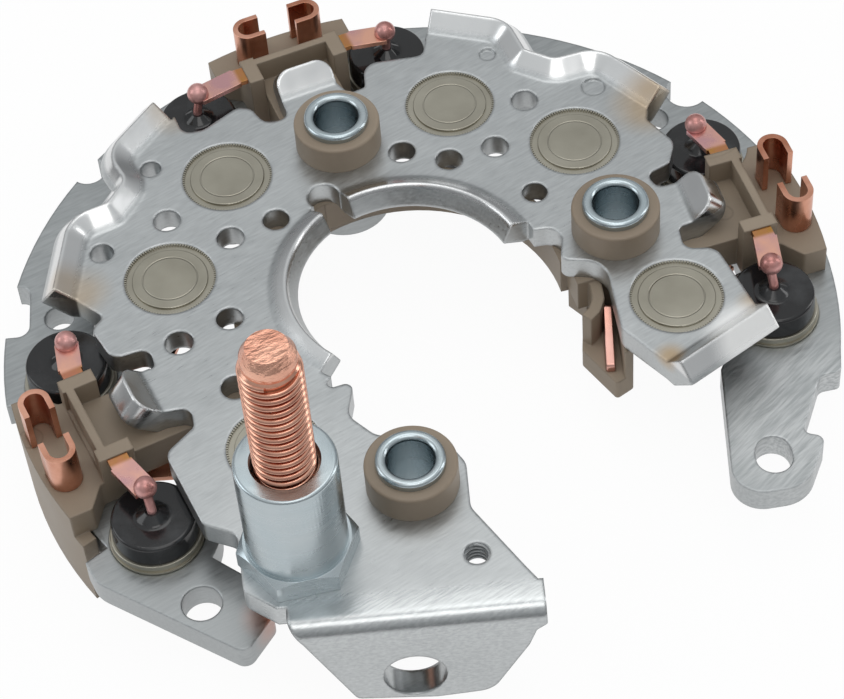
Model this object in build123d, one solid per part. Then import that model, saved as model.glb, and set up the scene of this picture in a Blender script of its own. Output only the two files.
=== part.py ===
"""Alternator rectifier for a stator with two sets of three phases, in millimetres.

The ring axis is the Z axis and the underside of the negative plate is z = 0.
Two aluminium plates lie one above the other with a plastic insulator between them.
The lower, negative plate carries six diodes that stand up, and the upper, positive plate
carries six that hang down. Copper terminals on three plastic blocks join them in pairs.
"""

import os
from math import atan2, cos, degrees, hypot, radians, sin, tan

from build123d import *

# Stack heights
negative_thickness = 4.0
plate_gap = 5.4
positive_thickness = 3.6
positive_bottom = negative_thickness + plate_gap
positive_top = positive_bottom + positive_thickness

# Negative plate
ring_outer_radius = 58.4
ring_width = 12.4
ring_inner_radius = ring_outer_radius - ring_width
ring_start_angle = -14.5
ring_end_angle = 216.0
lobe_radius = 8.4
pad_radius = 6.6
pad_clearance = 0.2
tongue_width = 4.6
edge_notch_depth = 3.5
edge_notch_low = 4.1
edge_notch_width = 9.3
edge_notch_radius = 1.8
edge_notch_reach = 9.0
# Holes through the ring as (angle, distance in from the outer edge, radius)
edge_bites = [(143.4, 0.3, 2.5), (42.9, 0.2, 3.0)]
negative_vents = [(172.2, 7.3, 2.1), (43.1, 7.6, 2.2), (137.8, 7.5, 2.3), (157.4, 9.0, 2.3)]
left_ear = [
    (-44.0, -26.0, 0.0), (-47.7, -33.2, 2.5), (-45.4, -38.8, 4.5), (-26.0, -51.9, 1.6),
    (-22.0, -46.2, 1.5), (-25.5, -40.0, 3.0), (-33.0, -34.0, 0.0), (-36.0, -26.0, 0.0),
]
left_ear_hole = (-31.5, -43.55)
left_ear_hole_radius = 2.65
right_ear = [
    (43.0, -8.0, 0.0), (57.8, -8.0, 0.0), (56.7, -15.2, 0.8), (53.7, -15.6, 1.4),
    (49.9, -24.9, 1.0), (52.9, -25.9, 1.2), (49.3, -33.7, 5.0), (39.3, -34.5, 5.0), (40.5, -13.0, 0.0),
]
right_ear_slot = (45.5, -28.1)
slot_width = 4.9
slot_length = 6.0

# Diodes: a knurled metal cup pressed into the plate, black potting and one lead
diode_radius = 6.4
cup_wall_radius = 6.2
cup_collar = 0.35
cup_height = 5.4
cup_bore_radius = 5.85
cup_floor = 2.4
cup_lip = 0.15
face_rim_depth = 0.3
face_pad_radius = 5.3
face_pad_edge = 0.28
potting_height = 8.6
potting_top_radius = 5.65
potting_edge = 0.5
cone_foot_radius = 2.3
cone_foot_blend = 1.1
cone_height = 1.0
cone_tip_radius = 0.95
lead_radius = 0.65
bead_radius = 1.55
bead_rise = 0.3
negative_diode_inset = 9.3
negative_diode_orbit = ring_outer_radius - negative_diode_inset
negative_diode_angles = [-4.4, 29.6, 91.4, 127.2, 185.6, 220.8]
# How far each standing lead leans over at its weld, inwards and then anticlockwise
lead_leans = [(0.45, 0.95), (0.7, 0.5), (0.4, 0.0), (0.0, -0.55), (0.65, 0.45), (0.5, -1.15)]
lead_straight = 0.3
lead_bend_radius = 0.4
positive_diode_places = [
    (35.11, -6.73), (24.39, 23.47), (7.21, 33.0), (-25.41, 22.73), (-33.83, 4.63), (-20.5, -26.0),
]

# Mounting sleeves with their insulating collars
sleeve_places = [(-9.18, 27.54), (28.31, 6.53), (-2.77, -33.91)]
sleeve_bore_radius = 3.1
sleeve_wall = 0.9
sleeve_radius = sleeve_bore_radius + sleeve_wall
sleeve_lip_radius = 4.62
sleeve_lip_height = 1.2
sleeve_lip_round = 0.72
collar_radius = 6.13
collar_height = 4.4
collar_neck_radius = 4.8
collar_edge = 0.35
boss_radius = 6.6

# Bends of the positive plate
crease_overlap = 1.2
crease_radius = 0.8
stamped_edge = 0.35
flange_angle = 38.0
flange_length = 3.7
tongue_angle = 42.0
tongue_length = 4.2
tongue_corner = 2.4
lip_angle = 26.0
lip_length = 2.9
end_lip_angle = 45.0
end_lip_length = 3.6
lip_centre = (-1.09, 0.43)
lip_crease_radius = 19.35
lip_spans = [(26.0, 116.0), (131.5, 229.0)]
lip_notch = (-11.9, 17.2, 2.3)

# Tab bent down at the front
tab_bend_line = -51.5
tab_outer_radius = 4.0
tab_inner_radius = 0.5
tab_lean = 3.5
tab_foot = -3.1
tab_outline = [
    (-21.2, positive_top + 2.0, 0.0), (-20.0, positive_top, 0.0), (-18.3, 10.6, 3.0), (-12.3, -2.0, 1.2),
    (-2.0, tab_foot, 8.0), (5.2, -2.6, 3.2), (10.2, 6.4, 3.0), (11.2, 9.3, 0.6), (12.6, 10.4, 0.6),
    (12.6, positive_top + 2.0, 0.0),
]
tab_reach = 20.0
tab_hole = (-4.6, 1.9)
tab_hole_radius = 4.1

# Outline of the flat of the positive plate, clockwise from above, as (x, y, corner radius)
lower_left_edge = [
    (-21.2, -51.5, 0.0), (-25.3, -48.4, 2.0), (-25.8, -39.4, 1.8), (-30.2, -37.4, 1.6),
    (-34.9, -25.6, 2.0), (-31.0, -21.6, 1.2), (-31.3, -18.2, 1.6),
]
left_tongue_crease = [(-35.0, -18.6, 0.0), (-37.9, -11.4, 0.0)]
left_middle_edge = [
    (-36.0, -11.0, 1.4), (-36.8, -7.4, 1.6), (-41.9, -8.7, 2.0), (-44.8, -3.2, 1.6), (-42.9, -1.2, 1.0),
]
left_flange_crease = [
    (-46.8, 2.2, 0.0), (-45.0, 13.6, 2.2), (-40.3, 15.4, 3.5), (-36.3, 22.0, 5.5), (-38.9, 27.3, 2.0),
    (-33.2, 34.8, 0.0),
]
top_left_recess = [
    (-32.8, 35.6, 0.5), (-31.6, 31.8, 2.0), (-28.6, 32.2, 2.0), (-22.4, 37.0, 2.4), (-19.7, 32.4, 2.0),
    (-16.1, 33.0, 1.4),
]
top_tongue_crease = [(-17.0, 36.5, 0.0), (-8.9, 39.2, 0.0)]
top_lobe = [(-7.2, 36.9, 1.0), (-4.8, 37.8, 0.6), (-4.8, 42.6, 2.6), (4.0, 43.2, 1.4)]
right_flange_crease = [
    (5.0, 47.75, 0.0), (14.4, 44.6, 1.8), (16.3, 38.6, 3.5), (22.5, 34.9, 5.5), (28.5, 36.3, 2.0),
    (35.4, 28.6, 0.0),
]
right_top_edge = [
    (35.0, 26.4, 1.0), (38.4, 21.5, 2.2), (37.2, 17.6, 1.4), (33.6, 15.8, 1.6), (35.0, 13.2, 1.2),
]
right_tongue_crease = [(37.5, 13.7, 0.0), (38.9, 6.2, 0.0)]
right_middle_edge = [(36.9, 5.6, 1.2), (37.2, 1.6, 1.6), (41.6, 1.2, 2.4)]
end_lip_crease = [(45.4, -9.4, 0.0), (32.4, -18.0, 0.0)]
inner_right_edge = [
    (27.1, -11.6, 2.5), (26.2, 0.6, 5.0), (20.1, 1.6, 1.2), (21.2, 7.8, 2.2), (15.0, 7.2, 0.0),
]
inner_left_edge = [
    (-14.4, -17.6, 0.8), (-9.4, -16.3, 1.0), (-10.6, -22.0, 2.5), (-6.8, -26.0, 3.0), (0.8, -25.4, 4.0),
    (4.4, -31.5, 3.0), (4.4, -38.6, 2.5), (10.6, -48.5, 2.0), (12.6, -51.5, 0.0),
]
positive_vents = [
    (-36.3, 25.5, 1.5), (-34.1, 15.4, 1.95), (-43.3, 10.4, 1.7), (-25.25, 11.1, 1.95), (-18.75, 13.7, 1.9),
    (-25.75, -3.5, 1.9), (-32.75, -6.95, 2.0), (-25.3, -15.5, 2.0), (-0.3, 24.4, 1.95), (6.3, 22.1, 1.95),
    (13.0, 23.8, 1.95), (18.0, 32.3, 1.95), (17.8, 14.4, 1.8),
]
threaded_hole = (4.6, -45.8)
threaded_hole_radius = 1.65
punch_marks = [(28.2, 33.8, 1.7), (13.5, 42.3, 1.2)]
punch_depth = 0.4

# Output stud and the spacer nut round it
stud_place = (-17.93, -43.16)
stud_radius = 4.0
stud_shank_radius = 3.6
stud_core_radius = 3.45
stud_top = 55.0
stud_chamfer = 1.4
stud_point_length = 3.4
stud_head_radius = 6.0
stud_head_height = 3.0
nut_barrel_radius = 6.56
nut_bore_radius = 4.1
nut_mouth_radius = 4.5
nut_top = 32.8
shank_above_nut = 0.6
hex_side = 8.0
hex_height = 3.5
hex_turn = 8.4
hex_chamfer = 0.6

# Insulator
wall_inner_radius = 21.6
wall_thickness = 3.0
wall_drop = 0.9
wall_centre = (-1.0, 0.3)
wall_start_angle = 10.0
wall_end_angle = 228.0
arm_half_width = 5.4
block_angles = [13.78, 108.33, 202.28]
block_floor_height = 4.5
floor_outer_radius = ring_outer_radius - 0.9
floor_half_width = 10.8
floor_neck = 0.6
floor_shoulder = 3.0
bar_inner = negative_diode_orbit - 3.8
bar_outer = bar_inner + 4.9
bar_low = 5.46
bar_high = 7.62
web_inner = bar_inner + 3.3
web_outer = web_inner + 1.15
web_overlap = 0.2
block_top = 13.1
skirt_thickness = 2.1
skirt_drop = 12.0
skirt_start_angle = 188.5
skirt_end_angle = 215.2
skirt_clearance = 0.3
skirt_overlap = 0.3
end_wall_line = [(21.9, 4.4), (23.6, 2.4), (24.8, 0.0), (24.9, -2.6), (24.1, -4.6), (22.9, -5.8)]
end_wall_thickness = 1.6
end_wall_top = 9.0
end_box = [
    (22.4, -4.6, 0.5), (22.1, -7.0, 0.8), (26.2, -13.4, 0.5), (28.65, -11.8, 0.6), (28.65, 2.6, 0.0),
    (24.0, 2.6, 0.0),
]
end_box_wall = [(27.3, -12.7, 0.2), (28.65, -11.8, 0.6), (28.65, 2.6, 0.0), (27.3, 2.6, 0.0)]
end_box_low = 3.4
front_arm = [(-16.6, -16.8), (-12.0, -23.0), (-11.5, -30.0), (-2.77, -33.91)]
front_arm_width = 3.4
stud_arm_width = 5.0
stud_boss_radius = 6.7

# Copper parts
copper_thickness = 0.8
clip_centre = ring_outer_radius - 4.0
clip_half_width = 2.2
clip_tip = 2.4
clip_end = 6.7
clip_top = 15.0
base_level = 5.6
base_low = 2.8
tab_level = 12.1
weld_tab_width = 2.8
weld_tab_reach_width = 3.3
tab_root_length = 2.4
strip_level = 2.2
strip_width = 2.4
eye_radius = 1.9
riser_place = bar_inner - 1.5
elbow = (riser_place - 4.2, 6.2)
end_strip_line = [(26.1, -2.4), (25.6, -11.2)]
end_strip_width = 1.2
end_strip_foot = 2.4
end_strip_heights = (7.8, 4.6)


def polar(radius, angle):
    """Point at a radius and an angle in degrees about the ring axis."""
    return radius * cos(radians(angle)), radius * sin(radians(angle))


def fitting_radius(before, corner, after, wanted):
    """The wanted corner radius, or the most that the two runs beside the corner leave room for."""
    run_in = (corner[0] - before[0], corner[1] - before[1])
    run_out = (after[0] - corner[0], after[1] - corner[1])
    shorter = min(hypot(*run_in), hypot(*run_out))
    turn = abs(degrees(atan2(run_in[0] * run_out[1] - run_in[1] * run_out[0],
                             run_in[0] * run_out[0] + run_in[1] * run_out[1])))
    if turn < 1.0:
        return 0.0
    return min(wanted, 0.48 * shorter / tan(radians(turn / 2)))


def corner_radii(points, closed):
    """Radius for every corner of a list of (x, y, radius), ends left out on an open line."""
    count = len(points)
    places = range(count) if closed else range(1, count - 1)
    return [fitting_radius(points[i - 1], points[i], points[(i + 1) % count], points[i][2]) for i in places]


def rounded_line(points):
    """Open line through (x, y, radius) corners."""
    return FilletPolyline(*[(p[0], p[1]) for p in points], radius=corner_radii(points, False))


def facing_up(face):
    """The same flat face with its normal towards +Z."""
    return face if face.normal_at().Z > 0 else -face


def rounded_face(points):
    """Flat face with the outline (x, y, radius)."""
    line = FilletPolyline(*[(p[0], p[1]) for p in points], radius=corner_radii(points, True), close=True)
    return facing_up(Face(Wire(line.edges())))


def sector(inner, outer, start, end):
    """Part of a flat ring about the Z axis, from a start angle round to an end angle."""
    arc_span = end - start
    outer_arc = CenterArc((0, 0), outer, start, arc_span)
    inner_arc = CenterArc((0, 0), inner, start, arc_span)
    ends = [Line(outer_arc @ 0, inner_arc @ 0), Line(outer_arc @ 1, inner_arc @ 1)]
    edges = [*outer_arc.edges(), *inner_arc.edges(), *ends[0].edges(), *ends[1].edges()]
    return facing_up(Face(Wire(edges)))


def prism(face, low, high):
    """Solid that stands on a flat face, from one height to another."""
    return Pos(0, 0, low) * extrude(face, amount=high - low, dir=(0, 0, 1))


def disc(place, radius, low, high):
    """Round solid at a place, from one height to another."""
    standing = (Align.CENTER, Align.CENTER, Align.MIN)
    return Pos(place[0], place[1], low) * Cylinder(radius, high - low, align=standing)


def turned(points):
    """Solid turned about the Z axis from an outline of (radius, height, corner radius)."""
    return revolve(Plane.XZ * rounded_face(points), Axis.Z)


def strap(points, width):
    """Flat face of one width along a line of points, with round turns and square ends."""
    face = None
    for (x0, y0), (x1, y1) in zip(points, points[1:]):
        run = Rectangle(hypot(x1 - x0, y1 - y0), width)
        run = Pos((x0 + x1) / 2, (y0 + y1) / 2) * Rot(0, 0, degrees(atan2(y1 - y0, x1 - x0))) * run
        face = run if face is None else face + run
    for x, y in points[1:-1]:
        face += Pos(x, y) * Circle(width / 2)
    return face


def seen_from_block(place, angle):
    """Coordinates of a place in a block's own frame, where the block lies at angle zero."""
    return polar(hypot(*place), degrees(atan2(place[1], place[0])) - angle)


def place_block(shape, angle):
    """Turn what is drawn at angle zero to its place round the ring."""
    return Rot(0, 0, angle) * shape


def place_on_ring(angle, inset):
    """Place at an angle and a distance in from the outer edge of the ring."""
    return polar(ring_outer_radius - inset, angle)


def leaning_top(angle, lean):
    """Place of the top of a standing lead that leans inwards and round the ring."""
    inward, around = lean
    x, y = polar(negative_diode_orbit - inward, angle)
    return x - around * sin(radians(angle)), y + around * cos(radians(angle))


negative_diode_places = [polar(negative_diode_orbit, angle) for angle in negative_diode_angles]
lead_tops = [leaning_top(angle, lean) for angle, lean in zip(negative_diode_angles, lead_leans)]


# Negative plate

def negative_plate():
    """Ring with a lobe round each diode, two inward tongues, two ears and its holes."""
    plan = sector(ring_inner_radius, ring_outer_radius, ring_start_angle, ring_end_angle)
    plan += rounded_face(left_ear)
    plan += rounded_face(right_ear)
    for place in negative_diode_places:
        plan += Pos(*place) * Circle(lobe_radius)
    for place, angle in zip(sleeve_places, block_angles[1::-1]):
        start = hypot(*place)
        reach = ring_inner_radius + 2.0 - start
        plan += Rot(0, 0, angle) * Pos(start + reach / 2, 0) * Rectangle(reach, tongue_width)
        plan += Pos(*place) * Circle(pad_radius)
    seat_inner = floor_outer_radius - skirt_thickness - skirt_clearance
    seat_outer = ring_outer_radius + lobe_radius
    plan -= sector(seat_inner, seat_outer, skirt_start_angle - 0.4, skirt_end_angle + 2.0)
    notch_side = ring_outer_radius - edge_notch_depth
    notch_high = edge_notch_low + edge_notch_width
    notch = [
        (-notch_side, edge_notch_low, edge_notch_radius), (-notch_side, notch_high, edge_notch_radius),
        (-notch_side - edge_notch_reach, notch_high, 0.0),
        (-notch_side - edge_notch_reach, edge_notch_low, 0.0),
    ]
    plan -= rounded_face(notch)
    for angle, inset, radius in edge_bites + negative_vents:
        plan -= Pos(*place_on_ring(angle, inset)) * Circle(radius)
    for place in negative_diode_places:
        plan -= Pos(*place) * Circle(diode_radius)
    for place in sleeve_places[:2]:
        plan -= Pos(*place) * Circle(sleeve_radius)
    plan -= Pos(*left_ear_hole) * Circle(left_ear_hole_radius)
    slot = SlotOverall(slot_length, slot_width, rotation=90)
    plan -= Pos(*right_ear_slot) * slot
    return prism(plan, 0.0, negative_thickness)


# Positive plate

def bend_outline(length, angle, edge):
    """Section of a bent-up edge, with the crease at the origin and the outside towards +X."""
    t = positive_thickness
    rise = radians(angle)
    tip = (length * cos(rise), length * sin(rise))
    return [
        (-crease_overlap, 0.0, 0.0), (0.0, 0.0, crease_radius), (tip[0], tip[1], edge),
        (tip[0] + t * sin(rise), tip[1] - t * cos(rise), edge),
        (t * tan(rise / 2), -t, crease_radius), (-crease_overlap, -t, 0.0),
    ]


def crease_plane(line):
    """Plane across the start of a crease, X outwards and Y up."""
    start = line @ 0
    ahead = line % 0
    origin = (start.X, start.Y, positive_top)
    return Plane(origin=origin, x_dir=(-ahead.Y, ahead.X, 0), z_dir=(ahead.X, ahead.Y, 0))


def flange(crease):
    """Bent section carried along a scalloped crease."""
    path = Pos(0, 0, positive_top) * rounded_line(crease)
    section = crease_plane(path) * rounded_face(bend_outline(flange_length, flange_angle, stamped_edge))
    return sweep(section, path)


def straight_bend(crease, length, angle, corner):
    """Bent-up tongue along a straight crease, its two free corners rounded."""
    path = Line(crease[0][:2], crease[1][:2])
    section = crease_plane(path) * rounded_face(bend_outline(length, angle, 0.0))
    tongue = extrude(section, amount=path.length)
    tip = crease_plane(path) * Location((length * cos(radians(angle)), length * sin(radians(angle)), 0))
    across = Vector(sin(radians(angle)), -cos(radians(angle)), 0)
    direction = crease_plane(path).from_local_coords(across) - crease_plane(path).origin
    corners = [edge for edge in tongue.edges()
               if abs((edge % 0).dot(direction)) > 0.999
               and min((edge @ 0 - tip.position).cross(path % 0).length,
                       (edge @ 1 - tip.position).cross(path % 0).length) < 0.01]
    return fillet(corners, corner)


def centre_lip(start, end):
    """Bent-up lip round the central opening, between two angles."""
    section = [(-p[0], p[1] + positive_top, p[2]) for p in bend_outline(lip_length, lip_angle, stamped_edge)]
    ring = Plane.XZ * Pos(lip_crease_radius, 0) * rounded_face(section)
    lip = revolve(ring, Axis.Z, end - start)
    return Pos(*lip_centre) * Rot(0, 0, start) * lip


def front_tab():
    """Tab bent down at the front, with its hole."""
    top = positive_top
    lean = tan(radians(tab_lean))
    outer = tab_bend_line - tab_outer_radius
    inner = outer + positive_thickness
    low = tab_foot - 3.0
    fall = top - low
    side = [
        (tab_bend_line + 1.0, top, 0.0), (outer, top, tab_outer_radius), (outer - fall * lean, low, 0.0),
        (inner - fall * lean, low, 0.0), (inner, positive_bottom, tab_inner_radius),
        (tab_bend_line + 1.0, positive_bottom, 0.0),
    ]
    bent = extrude(Plane.YZ * rounded_face(side), amount=2 * tab_reach, both=True)
    front = Plane.XZ * rounded_face(tab_outline)
    bent &= Pos(0, tab_bend_line + 1.0, 0) * extrude(front, amount=tab_reach)
    hole = Plane.XZ * Pos(*tab_hole) * Circle(tab_hole_radius)
    return bent - Pos(0, tab_bend_line - 1.0, 0) * extrude(hole, amount=tab_reach)


def positive_plate():
    """Flat plate with its bent edges, press-fit seats and cooling holes."""
    outline = (
        lower_left_edge + left_tongue_crease + left_middle_edge + left_flange_crease + top_left_recess
        + top_tongue_crease + top_lobe + right_flange_crease + right_top_edge + right_tongue_crease
        + right_middle_edge + end_lip_crease + inner_right_edge + [(0.0, 0.0, 0.0)] + inner_left_edge
    )
    flat = rounded_face(outline) - Pos(*lip_centre) * Circle(lip_crease_radius)
    plate = prism(flat, positive_bottom, positive_top)
    plate += flange(left_flange_crease)
    plate += flange(right_flange_crease)
    for crease in (left_tongue_crease, top_tongue_crease, right_tongue_crease):
        plate += straight_bend(crease, tongue_length, tongue_angle, tongue_corner)
    plate += straight_bend(end_lip_crease, end_lip_length, end_lip_angle, 0.5)
    for start, end in lip_spans:
        plate += centre_lip(start, end)
    plate += front_tab()
    low = positive_bottom - 1.0
    high = positive_top + 1.0
    plate -= disc(lip_notch, lip_notch[2], low, high + 4.0)
    for place in positive_diode_places:
        plate -= disc(place, diode_radius, low, high)
    for place in sleeve_places:
        plate -= disc(place, collar_neck_radius, low, high)
    for x, y, radius in positive_vents:
        plate -= disc((x, y), radius, low, high)
    for x, y, radius in punch_marks:
        plate -= disc((x, y), radius, positive_top - punch_depth, high)
    plate -= disc(threaded_hole, threaded_hole_radius, low, high)
    plate -= disc(stud_place, stud_shank_radius, low, high)
    return plate


# Diodes, drawn standing up with the flush face at z = 0

def diode_cup():
    """Knurled press-fit cup: a thin lip above, and on its flush face a sunk rim round a raised pad."""
    collar_top = negative_thickness + cup_collar
    return turned([
        (0.0, 0.0, 0.0), (face_pad_radius, 0.0, face_pad_edge), (face_pad_radius, face_rim_depth, 0.0),
        (diode_radius, face_rim_depth, 0.0), (diode_radius, collar_top, 0.0),
        (cup_wall_radius, collar_top, 0.0), (cup_wall_radius, cup_height, cup_lip),
        (cup_bore_radius, cup_height, 0.0), (cup_bore_radius, cup_floor, 0.0), (0.0, cup_floor, 0.0),
    ])


def diode_potting():
    """Black potting that fills the cup and rises as a cone round the lead."""
    cone_top = potting_height + cone_height
    return turned([
        (lead_radius, cup_floor, 0.0), (cup_bore_radius, cup_floor, 0.0), (cup_bore_radius, cup_height, 0.0),
        (potting_top_radius, potting_height, potting_edge),
        (cone_foot_radius, potting_height, cone_foot_blend),
        (cone_tip_radius, cone_top, 0.0), (lead_radius, cone_top, 0.0),
    ])


def weld_bead(tab_face):
    """Round bead at the outer face of a tab, where a lead is welded to it."""
    return Pos(0, 0, tab_face + bead_rise) * Sphere(bead_radius)


def diode_lead(tab_bottom):
    """Straight lead from the cup floor up through the copper tab, with its weld bead."""
    seat = tab_bottom + copper_thickness
    return disc((0, 0), lead_radius, cup_floor, seat) + weld_bead(seat)


def leaning_lead(foot, top):
    """Lead that leaves the potting upright, leans over to its weld tab and goes up through it."""
    seat = tab_level + copper_thickness
    path = FilletPolyline(
        (*foot, cup_floor), (*foot, potting_height + cone_height + lead_straight),
        (*top, tab_level - lead_straight), (*top, seat), radius=lead_bend_radius,
    )
    wire = sweep(Pos(*foot, cup_floor) * Circle(lead_radius), path)
    return wire + Pos(*top, 0) * weld_bead(seat)


def stand(shape, place):
    """Place of a negative diode's piece, standing up."""
    return Pos(place[0], place[1], 0) * shape


def hang(shape, place):
    """Place of a positive diode's piece, hanging down from the top face of the plate."""
    return Pos(place[0], place[1], positive_top) * Rot(180, 0, 0) * shape


# Sleeves and collars

def sleeve():
    """Steel tube with a rolled lip over the collar."""
    top = positive_top + collar_height
    return turned([
        (sleeve_bore_radius, 0.0, 0.0), (sleeve_radius, 0.0, 0.0), (sleeve_radius, top, 0.0),
        (sleeve_lip_radius, top, 0.0), (sleeve_lip_radius, top + sleeve_lip_height, sleeve_lip_round),
        (sleeve_bore_radius, top + sleeve_lip_height, sleeve_lip_round),
    ])


def collar():
    """Plastic bush whose neck passes through the plate."""
    top = positive_top + collar_height
    return turned([
        (sleeve_radius, positive_bottom, 0.0), (collar_neck_radius, positive_bottom, 0.0),
        (collar_neck_radius, positive_top, 0.0), (collar_radius, positive_top, 0.0),
        (collar_radius, top, collar_edge), (sleeve_radius, top, 0.0),
    ])


# Output stud and spacer nut

def output_stud():
    """Copper stud with its head under the plate, a shank in the nut, the threaded part and a plain point."""
    head_bottom = positive_bottom - stud_head_height
    thread_bottom = nut_top + shank_above_nut
    thread_top = stud_top - stud_point_length
    tip_radius = stud_core_radius - stud_chamfer * 0.6
    stud = turned([
        (0.0, head_bottom, 0.0), (stud_head_radius, head_bottom, 0.5),
        (stud_head_radius, positive_bottom, 0.0), (stud_shank_radius, positive_bottom, 0.0),
        (stud_shank_radius, thread_bottom, 0.0),
        (stud_radius, thread_bottom, 0.0), (stud_radius, thread_top, 0.0),
        (stud_core_radius, thread_top + 0.6, 0.0), (stud_core_radius, stud_top - stud_chamfer, 0.0),
        (tip_radius, stud_top, 0.0), (0.0, stud_top, 0.0),
    ])
    return Pos(*stud_place) * stud


def spacer_nut():
    """Zinc-plated round spacer on a hexagon foot."""
    barrel = turned([
        (nut_bore_radius, positive_top, 0.0), (nut_barrel_radius, positive_top, 0.0),
        (nut_barrel_radius, nut_top, 0.5), (nut_mouth_radius, nut_top, 0.0),
        (nut_bore_radius, nut_top - 0.6, 0.0),
    ])
    hexagon = prism(RegularPolygon(hex_side, 6, rotation=hex_turn), positive_top, positive_top + hex_height)
    chamfer_cone = turned([
        (0.0, positive_top, 0.0), (hex_side + hex_height, positive_top, 0.0),
        (hex_side - hex_chamfer * 1.7, positive_top + hex_height, 0.0), (0.0, positive_top + hex_height, 0.0),
    ])
    hexagon &= chamfer_cone
    bore = disc((0, 0), nut_bore_radius, positive_top - 1.0, nut_top + 1.0)
    return Pos(*stud_place) * (barrel + (hexagon - bore))


# Insulator

def block_body():
    """One terminal block at angle zero: arm, floor, two bars, the web and the channels for copper."""
    floor_bottom = negative_thickness
    floor_top = negative_thickness + block_floor_height
    arm = prism(Pos((wall_inner_radius + bar_outer) / 2, 0)
                * Rectangle(bar_outer - wall_inner_radius, 2 * arm_half_width), floor_bottom, positive_bottom)
    neck = bar_outer + floor_neck
    shoulder = bar_outer + floor_shoulder
    floor_plan = rounded_face([
        (bar_inner, -bar_high, 0.0), (neck, -bar_high, 0.8), (shoulder, -floor_half_width, 0.6),
        (floor_outer_radius, -floor_half_width, 0.6), (floor_outer_radius, floor_half_width, 0.6),
        (shoulder, floor_half_width, 0.6), (neck, bar_high, 0.8), (bar_inner, bar_high, 0.0),
    ]) & Circle(floor_outer_radius)
    block = arm + prism(floor_plan, floor_bottom, floor_top)
    for side in (-1, 1):
        bar = Pos((bar_inner + bar_outer) / 2, side * (bar_low + bar_high) / 2) \
            * Rectangle(bar_outer - bar_inner, bar_high - bar_low)
        block += prism(bar, floor_bottom, block_top)
    web_width = 2 * (bar_low + web_overlap)
    web = Pos((web_inner + web_outer) / 2, 0) * Rectangle(web_outer - web_inner, web_width)
    block += prism(web, floor_bottom, block_top)
    return block


def end_post():
    """Right end of the moulding: a hooked wall, then an open box that holds the copper end strip."""
    post = prism(strap(end_wall_line, end_wall_thickness), 0.0, end_wall_top)
    post += prism(rounded_face(end_box), 0.0, end_box_low)
    return post + prism(rounded_face(end_box_wall), 0.0, end_wall_top)


def insulator():
    """One moulding: inner wall, three arms with their blocks, sleeve bosses, skirt and end box."""
    wall_bottom = negative_thickness - wall_drop
    wall_outer_radius = wall_inner_radius + wall_thickness
    wall_plan = sector(wall_inner_radius, wall_outer_radius, wall_start_angle, wall_end_angle)
    body = prism(Pos(*wall_centre) * wall_plan, wall_bottom, positive_bottom)
    for angle in block_angles:
        body += place_block(block_body(), angle)
    for place in sleeve_places[:2]:
        body += disc(place, boss_radius, negative_thickness, positive_bottom)
    body += disc(sleeve_places[2], boss_radius, 0.0, positive_bottom)
    body += prism(strap(front_arm, front_arm_width), negative_thickness, positive_bottom)
    body += prism(strap([sleeve_places[2], stud_place], stud_arm_width), negative_thickness, positive_bottom)
    body += disc(stud_place, stud_boss_radius, positive_bottom - stud_head_height, positive_bottom)
    skirt_inner = floor_outer_radius - skirt_thickness
    skirt = sector(skirt_inner, floor_outer_radius, skirt_start_angle, skirt_end_angle)
    body += prism(skirt, negative_thickness - skirt_drop, negative_thickness + skirt_overlap)
    body += end_post()
    for place in sleeve_places[:2]:
        body -= disc(place, pad_radius + pad_clearance, -1.0, negative_thickness)
    for place in sleeve_places:
        body -= disc(place, sleeve_radius, -1.0, positive_top)
    body -= disc(stud_place, stud_head_radius, negative_thickness - 1.0, positive_top)
    for place in negative_diode_places:
        body -= disc(place, diode_radius + 0.2, negative_thickness - 1.0, positive_top)
    for terminal in phase_terminals():
        body -= terminal
    return body - end_strip()


# Copper parts

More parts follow.
